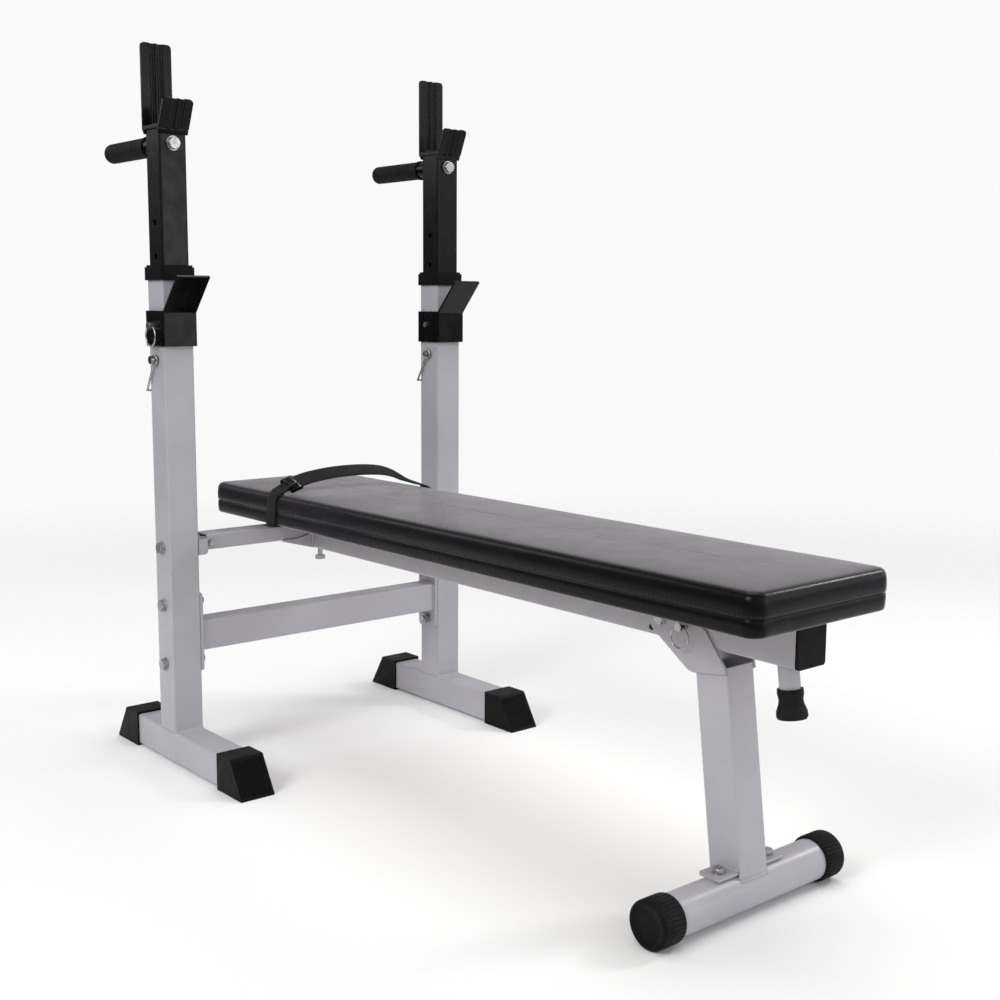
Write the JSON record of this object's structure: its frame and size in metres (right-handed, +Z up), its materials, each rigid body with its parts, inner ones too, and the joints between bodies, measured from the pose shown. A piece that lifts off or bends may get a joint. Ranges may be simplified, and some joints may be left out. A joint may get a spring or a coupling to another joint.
{
  "type": "folding weight bench with barbell rack",
  "caption": "Flat folding weight bench with a padded top, and two posts whose height-adjustable bar hooks, safety catches and dip handles carry a barbell.",
  "frame": {"origin": "on the floor, at the middle of the whole object's outline seen from above", "axes": "+X to the foot end of the bench, +Y to the right-hand post for a user lying with the head at the posts, +Z up"},
  "size_m": [1.2383, 0.603, 1.118],
  "materials": {
    "frame_paint": "satin silver-grey powder coat",
    "black_steel": "gloss black powder coat",
    "black_plastic": "moulded, satin",
    "grip_rubber": "matte ribbed",
    "zinc": "bright zinc plated",
    "vinyl": "satin grained vinyl over foam",
    "plywood": "raw plywood",
    "webbing": "woven nylon webbing"
  },
  "bodies": {
    "frame": {"left_floor_foot": "frame_paint", "right_floor_foot": "frame_paint", "left_post": "frame_paint", "right_post": "frame_paint", "left_front_floor_cap": "black_plastic", "left_rear_floor_cap": "black_plastic", "right_front_floor_cap": "black_plastic", "right_rear_floor_cap": "black_plastic", "lower_crossbar": "frame_paint", "crossbar_end_plates": "frame_paint", "crossbar_bolts": "zinc", "bench_pivot_bolts": "zinc", "frame_nuts": "zinc", "left_post_bushing": "black_plastic", "right_post_bushing": "black_plastic", "left_safety_catch": "black_steel", "right_safety_catch": "black_steel"},
    "left_rack": {"left_rack_tube": "black_steel", "left_bar_hook": "black_steel", "left_dip_handle": "black_steel", "left_dip_grip": "grip_rubber", "left_dip_bolt": "zinc"},
    "left_catch_pin": {"left_catch_pin": "zinc"},
    "left_catch_ring": {"left_catch_ring": "zinc"},
    "left_lock_pin": {"left_lock_pin": "zinc"},
    "left_pin_bail": {"left_pin_bail": "zinc"},
    "right_rack": {"right_rack_tube": "black_steel", "right_bar_hook": "black_steel", "right_dip_handle": "black_steel", "right_dip_grip": "grip_rubber", "right_dip_bolt": "zinc"},
    "right_catch_pin": {"right_catch_pin": "zinc"},
    "right_catch_ring": {"right_catch_ring": "zinc"},
    "right_lock_pin": {"right_lock_pin": "zinc"},
    "right_pin_bail": {"right_pin_bail": "zinc"},
    "bench": {"bench_beam": "frame_paint", "beam_end_cap": "black_plastic", "bench_crossbar": "frame_paint", "left_pivot_bracket": "frame_paint", "right_pivot_bracket": "frame_paint", "bench_bolts": "zinc", "beam_gusset": "frame_paint", "stub_tube": "frame_paint", "stub_rubber_foot": "grip_rubber", "pad_board": "plywood", "bench_pad": "vinyl", "pad_brackets": "frame_paint", "pad_screws": "zinc", "foot_strap": "webbing", "strap_buckle": "black_steel", "leg_pivot_bolt": "zinc"},
    "leg": {"front_leg": "frame_paint", "leg_bracket": "frame_paint", "foot_plate": "frame_paint", "foot_bolts": "zinc", "foot_tube": "frame_paint", "left_foot_cap": "black_plastic", "right_foot_cap": "black_plastic"},
    "pull_pin": {"leg_pull_pin": "zinc"},
    "pull_ring": {"leg_pull_ring": "zinc"}
  },
  "joints": [
    {"name": "left_rack_slide", "type": "slide", "parent": "frame", "child": "left_rack", "axis": [0, 0, 1], "range_m": [-0.156, 0.156]},
    {"name": "left_catch_pin_slide", "type": "slide", "parent": "frame", "child": "left_catch_pin", "axis": [0, -1, 0], "range_m": [0, 0.075]},
    {"name": "left_catch_ring_swing", "type": "hinge", "parent": "left_catch_pin", "child": "left_catch_ring", "pos_m": [-0.428, -0.297, 0.694], "axis": [-1, 0, 0], "range_deg": [0, 90]},
    {"name": "left_lock_pin_slide", "type": "slide", "parent": "frame", "child": "left_lock_pin", "axis": [0, -1, 0], "range_m": [0, 0.075]},
    {"name": "left_pin_bail_swing", "type": "hinge", "parent": "frame", "child": "left_pin_bail", "pos_m": [-0.428, -0.2625, 0.642], "axis": [0, 1, 0], "range_deg": [0, 88]},
    {"name": "right_rack_slide", "type": "slide", "parent": "frame", "child": "right_rack", "axis": [0, 0, 1], "range_m": [-0.156, 0.156]},
    {"name": "right_catch_pin_slide", "type": "slide", "parent": "frame", "child": "right_catch_pin", "axis": [0, 1, 0], "range_m": [0, 0.075]},
    {"name": "right_catch_ring_swing", "type": "hinge", "parent": "right_catch_pin", "child": "right_catch_ring", "pos_m": [-0.428, 0.297, 0.694], "axis": [1, 0, 0], "range_deg": [0, 90]},
    {"name": "right_lock_pin_slide", "type": "slide", "parent": "frame", "child": "right_lock_pin", "axis": [0, 1, 0], "range_m": [0, 0.075]},
    {"name": "right_pin_bail_swing", "type": "hinge", "parent": "frame", "child": "right_pin_bail", "pos_m": [-0.428, 0.2625, 0.642], "axis": [0, 1, 0], "range_deg": [0, 88]},
    {"name": "bench_fold", "type": "hinge", "parent": "frame", "child": "bench", "pos_m": [-0.428, 0, 0.348], "axis": [0, -1, 0], "range_deg": [0, 90]},
    {"name": "leg_fold", "type": "hinge", "parent": "bench", "child": "leg", "pos_m": [0.395, 0, 0.347], "axis": [0, 1, 0], "range_deg": [0, 98]},
    {"name": "leg_pull_pin_slide", "type": "slide", "parent": "leg", "child": "pull_pin", "axis": [0, -1, 0], "range_m": [-0.004, 0.008]},
    {"name": "leg_pull_ring_swing", "type": "hinge", "parent": "pull_pin", "child": "pull_ring", "pos_m": [0.435, -0.0391, 0.3455], "axis": [-1, 0, 0], "range_deg": [0, 90]}
  ]
}
